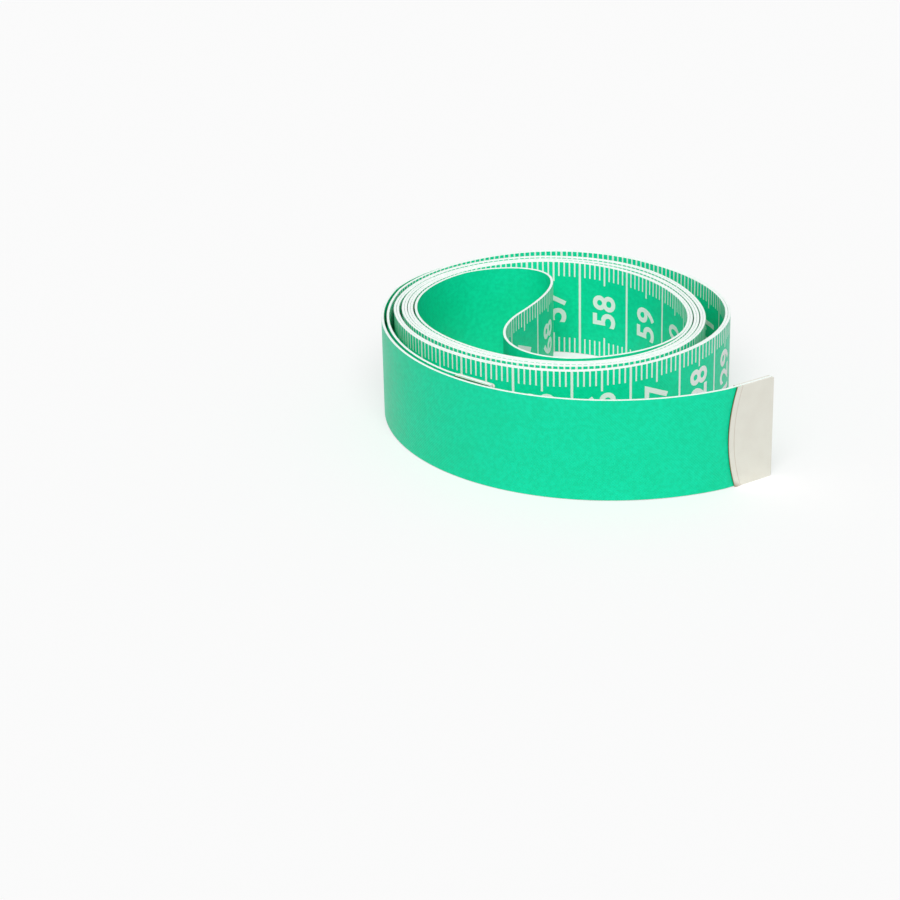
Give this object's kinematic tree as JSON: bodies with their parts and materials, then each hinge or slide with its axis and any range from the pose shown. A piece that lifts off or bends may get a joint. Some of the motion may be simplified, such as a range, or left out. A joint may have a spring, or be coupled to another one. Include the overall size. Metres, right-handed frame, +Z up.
{
  "type": "cloth tape measure",
  "caption": "Soft coated-cloth tape measure, wound double from its middle and standing on its edge, with a folded metal tip on each end and its outer end springing free.",
  "frame": {"origin": "middle of the bounding box, on the surface that the tape's lower edges stand on", "axes": "+Z up, across the tape's width; +Y away from the free end; +X towards the free end's tip"},
  "size_m": [0.0652, 0.073, 0.018],
  "materials": {
    "tape": "green vinyl-coated glass-fibre cloth, semi-gloss, with white printed scale and pale cut edges",
    "tip_metal": "bright nickel-plated folded sheet steel"
  },
  "bodies": {
    "coil": {"tape_coil": "tape"},
    "end_near": {"free_end_near": "tape"},
    "end_middle": {"free_end_middle": "tape"},
    "end_far": {"free_end_far": "tape", "free_end_tip": "tip_metal"},
    "tucked": {"tucked_end": "tape", "tucked_end_tip": "tip_metal"}
  },
  "joints": [
    {"name": "free_end_uncurl", "type": "hinge", "parent": "coil", "child": "end_near", "pos_m": [-0.03233, 0.0014, 0.009], "axis": [0, 0, -1], "range_deg": [0, 44.6], "stiffness_Nm_per_rad": 0.014},
    {"name": "free_end_uncurl_middle", "type": "hinge", "parent": "end_near", "child": "end_middle", "pos_m": [-0.01917, -0.02599, 0.009], "axis": [0, 0, -1], "range_deg": [0, 44.6], "stiffness_Nm_per_rad": 0.014},
    {"name": "free_end_uncurl_far", "type": "hinge", "parent": "end_middle", "child": "end_far", "pos_m": [0.00944, -0.03623, 0.009], "axis": [0, 0, -1], "range_deg": [0, 44.6], "stiffness_Nm_per_rad": 0.014},
    {"name": "tucked_end_spring", "type": "hinge", "parent": "coil", "child": "tucked", "pos_m": [-0.03139, 0.00163, 0.009], "axis": [0, 0, -1], "range_deg": [0, 11.15], "stiffness_Nm_per_rad": 0.012}
  ],
  "couplings": [
    {"joint": "free_end_uncurl_middle", "follows": "free_end_uncurl", "ratio": 1},
    {"joint": "free_end_uncurl_far", "follows": "free_end_uncurl", "ratio": 1},
    {"joint": "tucked_end_spring", "follows": "free_end_uncurl", "ratio": 0.25}
  ]
}
